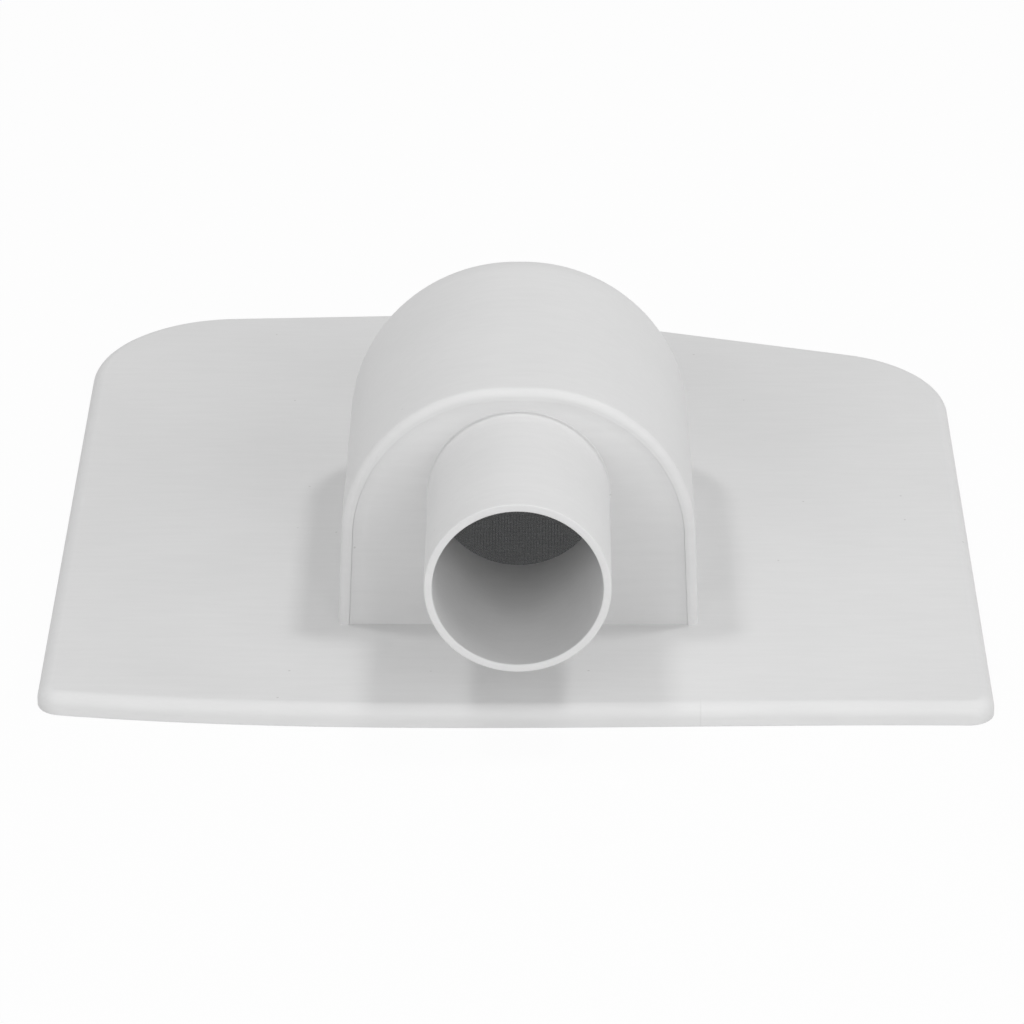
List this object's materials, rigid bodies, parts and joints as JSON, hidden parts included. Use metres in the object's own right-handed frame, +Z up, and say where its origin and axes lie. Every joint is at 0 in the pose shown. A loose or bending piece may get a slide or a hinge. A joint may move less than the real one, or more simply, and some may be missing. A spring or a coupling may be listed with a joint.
{
  "type": "cowl vent",
  "caption": "Low deck vent: an arched hood on a wide flat flange, with a straight round hose spigot out of its front and a screened aperture below.",
  "frame": {"origin": "in the flange's underside, straight below the spigot's axis, in the plane of the bulkhead's front face", "axes": "+Z up, away from the deck; the spigot points along -Y; +X to the right for someone who faces the spigot"},
  "size_m": [0.1986, 0.2068, 0.0595],
  "materials": {
    "moulding": "light grey ASA, injection moulded, satin",
    "seal_rubber": "black EPDM, moulded, matt",
    "gasket_foam": "black closed-cell EPDM foam, cut from sheet, matt",
    "frame_plastic": "dark grey acetal, injection moulded, satin",
    "screen_mesh": "light grey coated glass-fibre mesh",
    "screw_steel": "A4 stainless steel, bright"
  },
  "bodies": {
    "root": {"flange_plate": "moulding", "cowl_hood": "moulding", "front_bulkhead": "moulding", "hose_spigot": "moulding", "spigot_seal": "seal_rubber", "hood_seal": "seal_rubber", "flange_gasket": "gasket_foam", "screen_frame": "frame_plastic", "insect_screen": "screen_mesh", "hood_screw_1": "screw_steel", "hood_screw_2": "screw_steel", "hood_screw_3": "screw_steel", "hood_screw_4": "screw_steel", "screen_screw_1": "screw_steel", "screen_screw_2": "screw_steel", "screen_screw_3": "screw_steel", "screen_screw_4": "screw_steel"}
  },
  "joints": []
}
